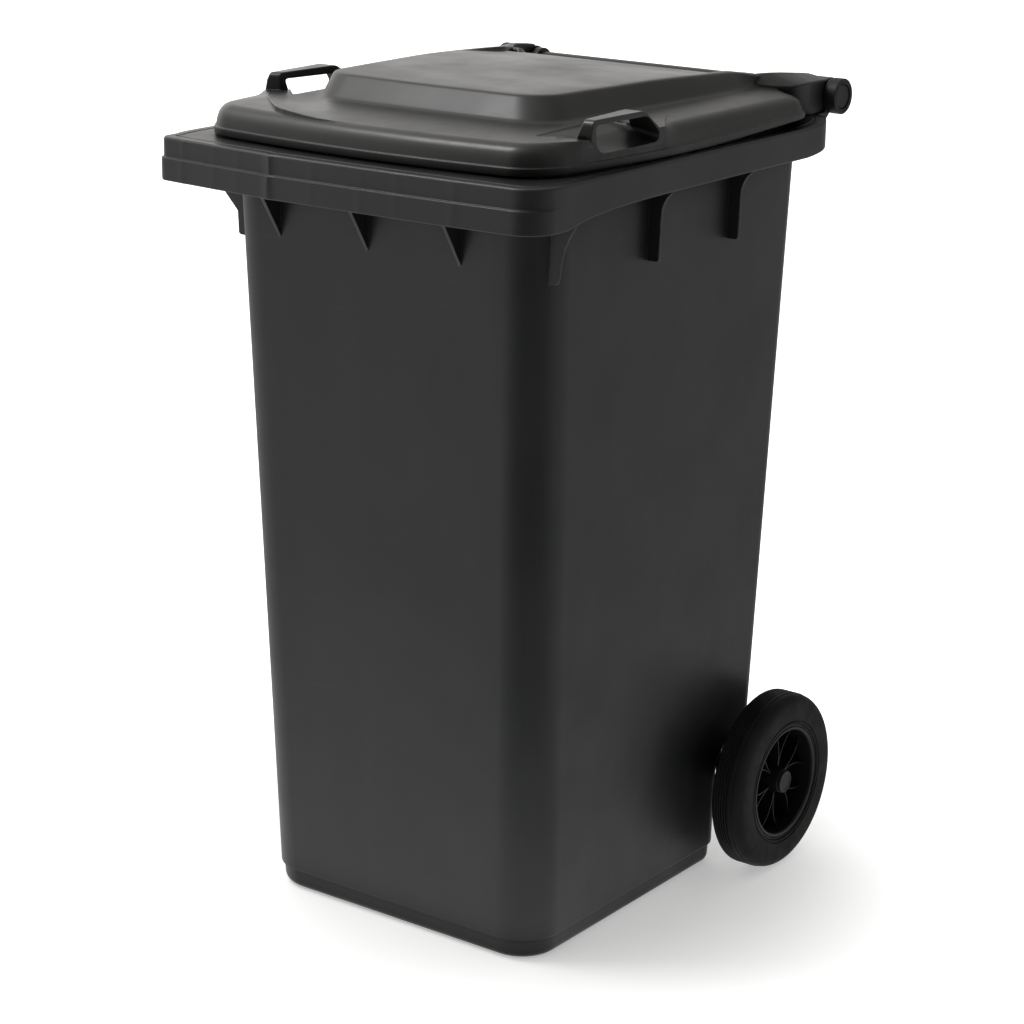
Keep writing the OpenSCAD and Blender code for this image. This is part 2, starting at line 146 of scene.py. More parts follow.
# Hole radii: two on one axis differ a little, so that their walls don't coincide
PIN_HOLE = 9.05
EYE_HOLE = 9.06
AXLE_HOLE = 10.05
WHEEL_BORE = 10.06


def smooth(t):
    """Eases from 0 to 1 as t does, and holds at both ends."""
    t = np.clip(t, 0, 1)
    return t * t * (3 - 2 * t)


# -------- mesh tools


@contextmanager
def welded(mesh, reach=0.00002):
    """A mesh as a BMesh whose points within reach metres are joined; it is written back at the end."""
    bm = bmesh.new()
    bm.from_mesh(mesh)
    bmesh.ops.remove_doubles(bm, verts=bm.verts, dist=reach)
    yield bm
    bm.to_mesh(mesh)
    bm.free()


def add_object(name, data):
    """Puts a mesh, light or camera into the scene."""
    obj = bpy.data.objects.new(name, data)
    bpy.context.scene.collection.objects.link(obj)
    return obj


def mesh_object(name, points, faces):
    """A mesh object from points in millimetres, with its faces turned outwards."""
    mesh = bpy.data.meshes.new(name)
    mesh.from_pydata([tuple(float(c) * MM for c in p) for p in points], [], faces)
    with welded(mesh, 0.00001) as bm:
        bmesh.ops.recalc_face_normals(bm, faces=bm.faces)
    return add_object(name, mesh)


def loft(name, rings, fan=False):
    """A closed solid through rings of equal length, capped flat or with a fan at both ends."""
    count = len(rings[0])
    points = [p for ring in rings for p in ring]
    faces = []
    for k in range(len(rings) - 1):
        for i in range(count):
            j = (i + 1) % count
            faces.append((k * count + i, k * count + j, (k + 1) * count + j, (k + 1) * count + i))
    for start in (0, (len(rings) - 1) * count):
        if fan:
            points.append(np.mean(rings[start // count], axis=0))
            centre = len(points) - 1
            faces += [(start + i, start + (i + 1) % count, centre) for i in range(count)]
        else:
            faces.append(tuple(range(start, start + count)))
    return mesh_object(name, points, faces)


def loop_solid(name, sections):
    """A closed ring-shaped solid: sections are equal-length outlines, and the last joins the first."""
    count, size = len(sections), len(sections[0])
    points = [p for section in sections for p in section]
    faces = []
    for k in range(count):
        n = (k + 1) % count
        for i in range(size):
            j = (i + 1) % size
            faces.append((k * size + i, k * size + j, n * size + j, n * size + i))
    return mesh_object(name, points, faces)


def slab(name, outline, axis, low, high, bevel=0.0):
    """A flat outline extruded along X (0) or Y (1), with its rim edges rounded by bevel."""
    order = ((2, 0, 1), (0, 2, 1))[axis]
    rings = []
    for level in (low, high):
        flat = [(u, v, level) for u, v in outline]
        rings.append([tuple(p[k] for k in order) for p in flat])
    obj = loft(name, rings)
    return bevel_edges(obj, bevel, 2) if bevel else obj


def bevel_edges(obj, width, segments, angle=40):
    """Rounds every edge of obj that turns by more than angle."""
    with welded(obj.data) as bm:
        sharp = [e for e in bm.edges if e.calc_face_angle(0) > math.radians(angle)]
        bmesh.ops.bevel(bm, geom=sharp, offset=width * MM, segments=segments, profile=0.5, affect="EDGES",
                        clamp_overlap=True)
    return obj


def rounded(points, radii, steps):
    """A closed outline with every corner rounded, each to its own radius."""
    pts = [np.array(p, float) for p in points]
    out = []
    for i, p in enumerate(pts):
        a, b = pts[i - 1], pts[(i + 1) % len(pts)]
        da, db = a - p, b - p
        reach = min(radii[i], 0.45 * np.linalg.norm(da), 0.45 * np.linalg.norm(db))
        if reach < 0.05:
            out.append(tuple(p))
            continue
        start, end = p + da / np.linalg.norm(da) * reach, p + db / np.linalg.norm(db) * reach
        for k in range(steps + 1):
            t = k / steps
            out.append(tuple((1 - t) ** 2 * start + 2 * t * (1 - t) * p + t * t * end))
    return out


def lathe(name, profile, centre, segments=144):
    """A solid turned about the X axis through centre: profile is (x, radius) pairs, a closed outline."""
    sections = []
    for k in range(segments):
        a = 2 * math.pi * k / segments
        sections.append([(x, centre[1] + r * math.cos(a), centre[2] + r * math.sin(a)) for x, r in profile])
    return loop_solid(name, sections)


def bore(x0, x1, centre, r):
    """A round bar along X through centre, with softened end edges, to cut a hole with."""
    edge, angles = 0.1, [2 * math.pi * i / 64 for i in range(64)]
    rings = []
    for x, rr in ((x0, r - edge), (x0 + 0.3 * edge, r - 0.3 * edge), (x0 + edge, r),
                  (x1 - edge, r), (x1 - 0.3 * edge, r - 0.3 * edge), (x1, r - edge)):
        rings.append([(x, centre[1] + rr * math.cos(a), centre[2] + rr * math.sin(a)) for a in angles])
    return loft("bore", rings)


def combine(target, others, operation):
    """Joins, cuts or intersects target with each closed solid in others, and removes them."""
    for other in others:
        mod = target.modifiers.new("combine", "BOOLEAN")
        mod.operation = operation
        mod.solver = "MANIFOLD"
        mod.object = other
        graph = bpy.context.evaluated_depsgraph_get()
        mesh = bpy.data.meshes.new_from_object(target.evaluated_get(graph))
        target.modifiers.clear()
        old = target.data
        target.data = mesh
        bpy.data.meshes.remove(old)
        bpy.data.objects.remove(other)
    return target


def mirrored(obj):
    """A copy of obj mirrored to the other side of the bin."""
    copy = add_object(obj.name, obj.data.copy())
    copy.data.transform(((-1, 0, 0, 0), (0, 1, 0, 0), (0, 0, 1, 0), (0, 0, 0, 1)))
    copy.data.flip_normals()
    return copy


def on_side(side, obj):
    """Leaves obj on the right, or moves it to the left as its mirror image."""
    if side > 0:
        return obj
    copy = mirrored(obj)
    bpy.data.objects.remove(obj)
    return copy


def finish_piece(obj, name, material, body, nodes, sharp=32):
    """Names and shades a finished piece, gives it its material, hides the CAD nodes it stands for, and ties it to
    its body.
    """
    with welded(obj.data) as bm:
        bmesh.ops.dissolve_degenerate(bm, edges=bm.edges, dist=0.00001)
    obj.name = name
    obj.data.name = name
    obj.data.materials.clear()
    obj.data.materials.append(material)
    obj.data.shade_smooth()
    obj.data.set_sharp_from_angle(angle=math.radians(sharp))
    weighted = obj.modifiers.new("even_shading", "WEIGHTED_NORMAL")
    weighted.keep_sharp = True
    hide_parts(*nodes)
    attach(obj, body)


# -------- outlines


def turn_points(centre, r, degrees):
    """Points in (y, z) at the given angles round a joint's place."""
    return [(centre[1] + r * math.cos(math.radians(a)), centre[2] + r * math.sin(math.radians(a))) for a in degrees]


def plan(half, front, rear, r_front, r_rear, r_left=None, arc=12, straight=12):
    """Rounded rectangle, anticlockwise from the right of its front edge, as an array of (x, y)."""
    r_left = r_front if r_left is None else r_left
    corners = [
        (half - r_front, -front + r_front, r_front, -90),
        (half - r_rear, rear - r_rear, r_rear, 0),
        (-half + r_rear, rear - r_rear, r_rear, 90),
        (-half + r_left, -front + r_left, r_left, 180),
    ]
    out = []
    for k, (cx, cy, r, start) in enumerate(corners):
        for i in range(arc + 1):
            a = math.radians(start + 90 * i / arc)
            out.append((cx + r * math.cos(a), cy + r * math.sin(a)))
        nx, ny, nr, ns = corners[(k + 1) % 4]
        a = math.radians(ns)
        end = np.array([nx + nr * math.cos(a), ny + nr * math.sin(a)])
        begin = np.array(out[-1])
        out += [tuple(begin + (end - begin) * i / straight) for i in range(1, straight)]
    return np.array(out)


def level(outline, z):
    """Lifts a plan outline to a height, one value or one per point."""
    return np.column_stack([outline, np.full(len(outline), z, float)])


# -------- body


def back_wall(z):
    """Distance of the body's back wall behind the middle, with the recess round the axle."""
    plain = BASE["rear"] + (TOP["rear"] - BASE["rear"]) * z / RIM_Z
    if z >= RECESS[-1][0]:
        return plain
    heights, depths = zip(*RECESS)
    return min(plain, float(np.interp(z, heights, depths)))


def body_plan(z, inset, rear_z=None):
    """Outline of the tapered body at a height."""
    share = z / RIM_Z
    half = BASE["half"] + (TOP["half"] - BASE["half"]) * share - inset
    front = BASE["front"] + (TOP["front"] - BASE["front"]) * share - inset
    rear = back_wall(z if rear_z is None else rear_z) - inset
    return plan(half, front, rear, max(FRONT_CORNER - inset, 12), max(REAR_CORNER - inset, 8))


def wall_heights(above_recess, last):
    """Heights of the rings up the body's wall, closer together round the recess."""
    return [60, 100] + [z for z, _ in RECESS[1:]] + [above_recess] + list(range(300, 901, 100)) + [last]


def body_outside():
    """Outside of the body: a rounded bottom edge, a slightly narrower band at the base, and the taper."""
    rings = []
    for k in range(7):
        a = math.radians(15 * k)
        rings.append(level(body_plan(0, 4 + 12 * (1 - math.sin(a))), 12 * (1 - math.cos(a))))
    for z, inset in ((24, 4), (BAND_TOP - 0.8, 3.6), (BAND_TOP, 2.6), (BAND_TOP + 0.6, 1.2), (BAND_TOP + 1.6, 0.3),
                     (BAND_TOP + 3, 0)):
        rings.append(level(body_plan(z, inset), z))
    for z in wall_heights(200, RIM_Z - 2):
        rings.append(level(body_plan(z, 0), z))
    return loft("body_outside", rings)


def body_inside():
    """The hollow of the body, flared a little at the mouth so that its edge is rounded."""
    rings = [level(body_plan(5, 22), 5), level(body_plan(6.5, 17), 6.5), level(body_plan(12, 12), 12)]
    rings += [level(body_plan(z, WALL + (5 if z < 32 else 0)), z) for z in (24, 34)]
    for z in wall_heights(202, RIM_Z - 4):
        rings.append(level(body_plan(z, WALL, max(z - 7, 0)), z))
    for k in range(1, 6):
        a = math.radians(18 * k)
        rings.append(level(body_plan(RIM_Z, WALL - 3 * (1 - math.cos(a))), RIM_Z - 3 + 3 * math.sin(a)))
    rings.append(level(body_plan(RIM_Z, WALL - 3), RIM_Z + 5))
    return loft("body_inside", rings)


def rim_plan(inset, step):
    """Outline of the rim: the comb's left end is creased and set back, and its right end bows back."""
    out = plan(RIM_HALF - inset, -COMB_Y - inset, RIM_REAR - inset, max(36 - inset, 4), max(38 - inset, 4),
               max(14 - inset, 3), straight=120)
    front = smooth((-300 - out[:, 1]) / 45)
    x = out[:, 0].copy()
    left = np.clip((CREASE_X - x) / 190, 0, 1) * 15
    crease = 3.0 * np.exp(-np.abs(x - CREASE_X) / 5)
    for place, depth in FAINT_CREASES:
        crease += depth * np.exp(-np.abs(x - place) / 3)
    right = np.clip(x / 290, 0, 1) ** 2 * 9
    out[:, 0] = np.where(x < 0, x * (1 - 4 * smooth((-280 - out[:, 1]) / 60) / 290), x)
    out[:, 1] += front * (left - crease + right)
    end = 0.35 * np.sign(x) * (np.abs(x) > RIM_HALF - 40)
    out -= step * front[:, None] * np.column_stack([end, -np.ones(len(x))])
    return out


def rim():
    """Rim as a ring of sections: from the mouth, over the shelf, down the skirt and back underneath."""
    inner = plan(TOP["half"] - 12, TOP["front"] - 12, RIM_REAR - 22, 44, 18, straight=120)
    wall_line = plan(TOP["half"] - 2, TOP["front"] - 2, RIM_REAR - 12, 54, 28, straight=120)
    base = rim_plan(0, 0)
    sweep = 7 * np.clip((base[:, 1] - 225) / 55, 0, 1) ** 1.6
    sweep *= 0.72 + 0.28 * smooth((np.abs(base[:, 0]) - 252) / 18)
    along_side = np.exp(-np.clip(base[:, 1] + 292, 0, 1000) / 55)
    bottom = RIM_Z - SKIRT_DROP - (COMB_DROP - SKIRT_DROP) * np.clip(along_side, 0, 1)
    tier = RIM_Z - TIER_DROP
    columns = [level(inner, RIM_Z - 6), level(inner, RIM_Z)]
    for inset, dz in ((17.5, 0), (16.5, -0.3), (15.6, -1.1), (14.6, -1.1), (13.8, -0.2), (12.8, 0), (5, 0)):
        columns.append(level(rim_plan(inset, COMB_STEP), RIM_Z + dz))
    for k in range(1, 6):
        a = math.radians(18 * k)
        columns.append(level(rim_plan(3.5 * (1 - math.sin(a)), COMB_STEP), RIM_Z - 3.5 * (1 - math.cos(a))))
    for share, dz in ((1, 2.6), (1, 1.6), (0.86, 0.9), (0.5, 0.55), (0.2, 0.15), (0.05, -0.5), (0, -1.4)):
        columns.append(level(rim_plan(0, COMB_STEP * share), tier + dz))
    columns.append(level(base, bottom + 2.5))
    for inset, dz in ((0.4, 1.0), (1.4, 0), (3.4, 0), (4.2, 1.2)):
        columns.append(level(rim_plan(inset, 0), bottom + dz))
    columns.append(level(rim_plan(7.5, 0), RIM_Z - 9))
    columns.append(level(rim_plan(9.5, 0), RIM_Z - 6))
    columns.append(level(wall_line, RIM_Z - 6))
    for column in columns[2:-1]:
        column[:, 2] += sweep
    sections = [[column[i] for column in columns] for i in range(len(base))]
    return loop_solid("rim", sections)


def side_rib(side, y, reach, low, straight=False):
    """Upright rib on the side wall that flares out to the skirt, in a straight line or a hollow curve."""
    root = 222
    outer = [(reach - 1.5, low), (reach, RIM_Z - 104 if straight else RIM_Z - 78)]
    if straight:
        outer += [(reach + 26, RIM_Z - 79), (reach + 26, RIM_Z - 30)]
    else:
        for k in range(1, 7):
            a = math.radians(13 * k)
            outer.append((reach + 36 * (1 - math.cos(a)), RIM_Z - 75 + 38 * math.sin(a)))
    outer = [(min(x, RIM_HALF - 9), z) for x, z in outer]
    outline = [(root, low)] + outer + [(outer[-1][0], RIM_Z - 5), (root, RIM_Z - 5)]
    radii = [0, 4] + [2] * (len(outer) - 1) + [0, 0]
    return on_side(side, slab("rib", rounded(outline, radii, 3), 1, y - RIB_HALF, y + RIB_HALF, 0.9))


def corner_rib():
    """Rib at the near right corner, flaring in an open curve to the underside of the comb bar."""
    outer = [(244.5, RIM_Z - 128), (247.5, RIM_Z - 108), (251, RIM_Z - 90), (258, RIM_Z - 74), (266, RIM_Z - 62),
             (275, RIM_Z - 40)]
    outline = [(222, RIM_Z - 130)] + outer + [(275, RIM_Z - 5), (222, RIM_Z - 5)]
    return slab("rib", rounded(outline, [0, 4, 6, 8, 8, 8, 4, 0, 0], 4), 1, *RIGHT_CORNER_RIB, 0.9)


def gusset(x):
    """Triangular plate under the comb bar, its slanted edge running down to the wall."""
    foot = 0.885  # height of the plate's foot, as a share of the rim's
    wall_y = -(BASE["front"] + (TOP["front"] - BASE["front"]) * foot)
    outline = [
        (wall_y + 3, RIM_Z - 5), (COMB_Y + 8, RIM_Z - 5), (COMB_Y + 8, RIM_Z - 14),
        (wall_y - 40, RIM_Z - COMB_DROP), (wall_y - 0.5, RIM_Z - 117), (wall_y + 3, RIM_Z - 119),
    ]
    return slab("gusset", outline, 0, x - RIB_HALF, x + RIB_HALF, 0.7)


def ear(x0, x1):
    """Inner ear: an upright plate behind the rim that carries the inner end of a hinge pin."""
    outline = turn_points(HINGE, 21, range(-48, 136, 8))
    outline += [(RIM_REAR - 6, RIM_Z + 1), (TOP["rear"] - 10, RIM_Z - 3), (TOP["rear"] - 10, RIM_Z - 64),
                (TOP["rear"] + 3, RIM_Z - 60)]
    return slab("ear", outline, 0, x0, x1, 1.0)


def outer_ear():
    """Outer ear: a thin disc against the head of the pin, on a strut that rises from the skirt."""
    outline = turn_points(HINGE, EYE_R - 0.6, range(-110, 225, 8))
    outline += [(HINGE[1] - 20, RIM_Z + 6), (RIM_REAR - 6, RIM_Z + 4), (RIM_REAR - 6, RIM_Z - 34)]
    return slab("ear", outline, 0, *OUTER_EAR, 0.6)


def handle_bar():
    """Round bar between the inner ears, open underneath, with stiffening ribs inside."""
    y, z, r, wall = HINGE[1], HINGE[2], 16, 3.5
    outline = turn_points(HINGE, r, range(-55, 236, 10)) + turn_points(HINGE, r - wall, range(225, -50, -10))
    bar = slab("handle_bar", outline, 0, -BAR_HALF, BAR_HALF)
    disc = [(y + (r - 1) * math.cos(t), z + (r - 1) * math.sin(t)) for t in np.linspace(0, 2 * math.pi, 40)[:-1]]
    ribs = [slab("bar_rib", disc, 0, x - 1.3, x + 1.3) for x in range(-175, 176, 50)]
    return [bar] + ribs


def bearer(x):
    """Lug in the recess that carries the axle."""
    z = AXLE[2]
    outline = turn_points(AXLE, 22, range(-80, 81, 8))
    outline += [(191, z + 34), (182, z + 34), (182, z - 34), (188, z - 34)]
    return slab("bearer", outline, 0, x - 4, x + 4, 1.0)


def bin_body(material):
    obj = body_outside()
    parts = [rim()]
    parts += [corner_rib(), side_rib(-1, LEFT_CORNER_RIB, 256.5, RIM_Z - 134, True)]
    for y in SIDE_RIBS:
        parts += [side_rib(side, y, 259, RIM_Z - 130) for side in (-1, 1)]
    parts += [gusset(x) for x in GUSSETS]
    for plate in (ear(*INNER_EAR), outer_ear()):
        parts += [plate, mirrored(plate)]
    parts += handle_bar()
    parts += [bearer(x) for x in BEARERS]
    combine(obj, parts, "UNION")
    cuts = [body_inside()]
    for side in (-1, 1):
        low, high = sorted((side * 198, side * 262))
        cuts.append(bore(low, high, HINGE, PIN_HOLE))
    cuts.append(bore(-232, 232, AXLE, AXLE_HOLE))
    combine(obj, cuts, "DIFFERENCE")
    finish_piece(obj, "body_shell", material, "body", ["bin_body"])


# -------- lid


def lid_narrowing(y):
    """How much narrower each side of the lid is at y than at its widest."""
    return 18 * np.clip((-58 - y) / 204, 0, 1.15) ** 1.35


def lid_plan(inset):
    """Outline of the lid: a bowed front, sides that widen towards the back, and rounded corners."""
    r = max(LID["r"] - inset, 8)
    out = plan(LID["half"] - inset, LID["front"] - inset, LID["rear"] - inset, r, r, arc=20, straight=80)
    x, y = out[:, 0].copy(), out[:, 1].copy()
    out[:, 0] = x * (1 - lid_narrowing(y) / LID["half"])
    out[:, 1] += 15 * (np.abs(x) / 235) ** 2 * smooth((-200 - y) / 110)
    return out


def wall_plan(inset):
    """Outline of the lid's side wall, which stands upright beside the loop handles."""
    out, upright = lid_plan(inset), lid_plan(min(inset, 2.8))
    zone = np.zeros(len(out))
    for side, front in LOOP_FRONT.items():
        y = upright[:, 1]
        near = smooth((y - front + 46) / 42) * smooth((front + 172 - y) / 36)
        zone += near * smooth((side * upright[:, 0] - 200) / 40)
    share = 0.93 * zone[:, None]
    return out * (1 - share) + upright * share


def panel_plan(shape, inset):
    """Outline of the raised panel, wider at the back than at the front."""
    out = plan(shape["half"] - inset, shape["front"] - inset, shape["rear"] - inset,
               max(shape["r"] - inset, 6), max(shape["r_rear"] - inset, 4), arc=20, straight=80)
    out[:, 1] += 4 * (out[:, 0] / 160) ** 2 * smooth((-100 - out[:, 1]) / 90)
    taper = np.clip((220 - out[:, 1]) / 392, 0, 1) ** 1.6
    widen = shape["widen"] * (1 - taper) + shape["flare"] * smooth((out[:, 1] - 203) / 46)
    widen += shape["left"] * taper * (out[:, 0] < 0)
    out[:, 0] *= 1 + widen / shape["half"]
    return out


def panel_height(outline, drop, valley=0.0):
    """Top of the raised panel: it falls towards the back, and sinks between its two side rails there."""
    y = outline[:, 1]
    fall = 8 * np.clip((y - 20) / 210, 0, 1.15) ** 1.5 + 3.5 * smooth((y - 200) / 50)
    sink = 5.5 * smooth((y - 92) / 110) * np.maximum(valley, smooth((176 - np.abs(outline[:, 0])) / 6))
    return RIM_Z + 70.3 - drop - fall - sink


def raised_lip(outline, z):
    """The lower part of the lid's wall climbs towards the hinge, so that the gap to the rim widens."""
    lift = 8.5 * np.clip((outline[:, 1] - 10) / 225, 0, 1.08)
    return level(outline, z + lift * np.clip(1 - (z - LID_Z) / 32, 0, 1))


def lid_surface(d):
    """Rings over the top of the lid, from its lip to the middle of the panel, at a depth d below the skin."""
    rings = []
    if d == 0:
        for inset, z in ((1.8, 0), (0.6, 0.3), (0, 1.4), (0, LIP - 1.4), (0.4, LIP - 0.5), (1.4, LIP),
                         (2.3, LIP + 0.4), (2.6, LIP + 1.4)):
            lip = lid_plan(inset)
            ease = 0.75 * smooth((lip[:, 1] + 60) / 160)[:, None] * (inset < 2.7)
            rings.append(raised_lip(lip * (1 - ease) + lid_plan(min(inset, 1.0)) * ease, LID_Z + z))
    else:
        rings.append(level(lid_plan(d), LID_Z - 3))
        rings.append(level(lid_plan(d), LID_Z + LIP - 2))
    for inset, z in ((3.2, 16), (4.6, 22), (6.8, 27.5), (10, 31.8), (14, 34.8), (18.4, 36.4)):
        rings.append(raised_lip(wall_plan(inset + d), RIM_Z + z - d * 0.8))
    for inset, z in ((20, 36.9), (22, 37.4), (24, 37.8)):
        rings.append(level(wall_plan(inset + d), RIM_Z + z - d))
    outer = wall_plan(25 + d)
    foot = panel_plan(PANEL_FOOT, d - 14)
    for t in (0.25, 0.5, 0.75):
        height = (RIM_Z + 38.2) * (1 - t) + (RIM_Z + 41.5) * t - d
        rings.append(level(outer * (1 - t) + foot * t, height))
    for inset, z in ((-14, 41.5), (-6, 42.2), (-1.5, 43.6), (1.5, 46)):
        rings.append(level(panel_plan(PANEL_FOOT, inset + d), RIM_Z + z - d * 0.9))
    low, high = panel_plan(PANEL_FOOT, 1.5 + d), panel_plan(PANEL_TOP, -2.5 + d)
    top = panel_height(high, 3.2)
    for t in (0.3, 0.65, 1.0):
        rings.append(level(low * (1 - t) + high * t, (RIM_Z + 46) * (1 - t) + top * t - d * 0.9))
    for inset, drop, valley in ((-0.6, 1.7, 0), (1.4, 0.8, 0), (3.8, 0.3, 0), (9.2, 0.05, 0), (10.2, 0, 0.3),
                                (11.6, 0, 0.9), (12.6, 0, 1), (16, 0, 1)):
        ring = panel_plan(PANEL_TOP, inset + d)
        rings.append(level(ring, panel_height(ring, drop, valley) - d))
    edge = panel_plan(PANEL_TOP, 16 + d)
    middle = np.array([0, 34])
    for share in (0.86, 0.7, 0.5, 0.3, 0.12):
        ring = middle + (edge - middle) * share
        rings.append(level(ring, panel_height(ring, 0, 1) + 0.9 * (1 - share) - d))
    return rings


def scoop(side, grow):
    """The bowl under a loop handle: open to the side of the lid, sloping up to the panel, round at both ends."""
    front, sill = LOOP_FRONT[side], RIM_Z + LOOP_SILL[side]
    floor, inner = sill - grow, 204 - grow
    start, stop = front + 12 - grow, front + 125 + grow
    ends = [(0, 11.0), (0.8, 7.6), (2.4, 4.4), (5, 2.0), (9, 0.6), (14, 0)]
    stations = [(start + a, b) for a, b in ends] + [(stop - a, b) for a, b in reversed(ends)]
    rings = []
    for y, lift in stations:
        base, wall = floor + lift, inner + lift * 1.6
        outline = [(300, base), (271, base), (254, base + 4), (238, max(base + 9, RIM_Z + 28 - grow)),
                   (wall, RIM_Z + 39.5), (wall - 13, RIM_Z + 58), (wall - 20, RIM_Z + 80), (300, RIM_Z + 80)]
        soft = rounded(outline, [0, 8, 10, 14, 4, 0, 0, 0], 5)
        climb = 3.5 * (y - start) / (stop - start)
        rings.append([(side * x, y - 0.32 * (z - RIM_Z - 36) - 1.2 * np.clip(243 - x, 0, 36) * (y < front + 60),
                       z + climb * (x > 230)) for x, z in soft])
    return loft("scoop", rings)


def loop_handle(side):
    """Loop handle: a strap on two splayed legs that sink into the lid's wall, flush with its outside."""
    front, sill = LOOP_FRONT[side], RIM_Z + LOOP_SILL[side]
    top, floor = RIM_Z + 59.5, sill - 1

    def outside(foot, corner, head):
        """Outline of the legs and strap: foot, corner and head place its front edge."""
        return [(corner, floor), (foot, RIM_Z + 34), (head, top), (106, top + 0.3), (130, RIM_Z + 37),
                (136, RIM_Z + 25), (130, floor)]

    def inside(sag):
        """Outline of the opening, with its upper edge sag below the top of the strap."""
        return [(20, sill - 2), (13.5, RIM_Z + 31), (10, top - sag), (109, top - sag), (126, RIM_Z + 35),
                (131, RIM_Z + 26), (128, sill - 2)]

    def low(z):
        """0 in the strap and 1 from the shoulder of the lid down."""
        return np.clip((top - 9 - z) / 22, 0, 1)

    def inner_face(y, z):
        return 253 - 9 * y / 110 - 8 * low(z)

    def outer_face(y, z):
        wall, share = 277.6 - lid_narrowing(front + y), np.clip((top - 9 - z) / 14, 0, 1)
        return (266.5 + 4.5 * y / 110) * (1 - share) + wall * share

    def section(outline, radii, place):
        return [(side * place(y, z), front + y, z) for y, z in rounded(outline, radii, 6)]

    edge, bend = [10, 10, 8, 9, 10, 8, 10], [8, 12, 6, 7, 8, 9, 8]
    near, far = LOOP_FEET[side]
    strap = loft("loop", [section(outside(*near), edge, inner_face), section(outside(*far), edge, outer_face)])
    hole = loft("loop_hole", [section(inside(12), bend, lambda y, z: 222),
                              section(inside(3.6), bend, lambda y, z: 290)])
    bevel_edges(strap, 1.2, 3)
    combine(strap, [hole], "DIFFERENCE")
    return strap


def shoulder_step():
    """Raised part of the left shoulder: its crisp front runs from the loop's foot and fades out to the right."""
    spot = np.array((
        (-248, -186, 38.6, 0.2), (-226, -214, 38.8, 2.0), (-200, -240, 39.0, 3.2), (-172, -266, 38.9, 4.0),
        (-150, -285, 38.4, 4.4), (-130, -295, 37.9, 4.4), (-110, -300, 37.3, 4.1), (-90, -303.5, 36.8, 3.5),
        (-70, -305, 36.3, 2.7), (-45, -304, 36.9, 1.3), (-18, -301, 37.6, -0.3),
    ))
    rings = []
    for t in np.linspace(0, len(spot) - 1, 41):
        x, y, surface, height = (np.interp(t, range(len(spot)), spot[:, k]) for k in range(4))
        inland = np.array([-60 - x, -150 - y])
        inland /= np.linalg.norm(inland)
        crest, (a, b) = RIM_Z + surface + height, inland
        rings.append([(x, y, RIM_Z + 35.2), (x, y, crest - 0.8), (x + a * 0.3, y + b * 0.3, crest - 0.25),
                      (x + a, y + b, crest), (x + a * 46, y + b * 46, RIM_Z + 39.3),
                      (x + a * 46, y + b * 46, RIM_Z + 35.6)])
    return loft("step", rings)


def hinge_arm():
    """Arm of the lid: it leaves the corner of the panel, runs back and wraps over the hinge pin."""
    sections = []
    for y, inner, crest, outer, top, ridge, base in (
        (238, 189, 195, 204, 53, 44, 34),
        (248, 190, 200, 222, 57.8, 43, 30),
        (256, 194, 204, 244, 58.4, 44.5, 20),
        (265, 201, 209, 251, 58.5, 46, 9),
        (278, 209, 214, 253, 57.9, 46.8, 5.7),
        (290, 214, 218, 253, 56.8, 46.9, 5.7),
        (294, 215, 219, 253, 56.4, 47, 3.6),
        (322, 217, 220, 253, 53.2, 46.5, 3.6),
        (337, 217, 220, 253, 51.0, 46, 12),
    ):
        outline = [(inner, base), (inner, top - 1.5), (crest, top), (outer, ridge), (outer, base)]
        sections.append([(x, y, RIM_Z + z) for x, z in rounded(outline, [0, 1.0, 4, 2.5, 0], 6)])
    outline = turn_points(HINGE, EYE_R, range(-150, 127, 6))
    outline += [(HINGE[1] - 42, RIM_Z + 3.6), (HINGE[1] - 24, RIM_Z + 3.6)]
    arm = loft("arm", sections)
    eye = slab("eye", outline, 0, *ARM_X)
    bevel_edges(eye, 3.5, 4, 60)
    return combine(arm, [eye], "UNION")


def lid(material):
    skin = loft("lid", lid_surface(0), fan=True)
    hollow = loft("hollow", lid_surface(4), fan=True)
    combine(hollow, [scoop(1, 3.2), scoop(-1, 3.2)], "DIFFERENCE")
    combine(skin, [hollow], "DIFFERENCE")
    combine(skin, [shoulder_step()], "UNION")
    combine(skin, [scoop(1, 0), scoop(-1, 0)], "DIFFERENCE")
    arm = hinge_arm()
    combine(skin, [loop_handle(1), loop_handle(-1), mirrored(arm), arm], "UNION")
    cuts = []
    for side in (-1, 1):
        low, high = sorted((side * ARM_X[0], side * ARM_X[1]))
        cuts.append(bore(low - 3, high + 3, HINGE, EYE_HOLE))
        box = [(low + 5, RIM_Z - 5), (high - 5, RIM_Z - 5), (high - 5, RIM_Z + 38), (low + 5, RIM_Z + 38)]
        cuts.append(slab("arm_hollow", rounded(box, [0, 0, 4, 4], 4), 1, 276, 310))
    combine(skin, cuts, "DIFFERENCE")
    finish_piece(skin, "lid_shell", material, "lid", ["lid"])


# -------- wheels


def arc_points(cx, cr, r, start, stop, steps):
    """Points on an arc in an (x, radius) outline."""
    angles = np.radians(np.linspace(start, stop, steps + 1))
    return [(cx + r * math.sin(a), cr + r * math.cos(a)) for a in angles]


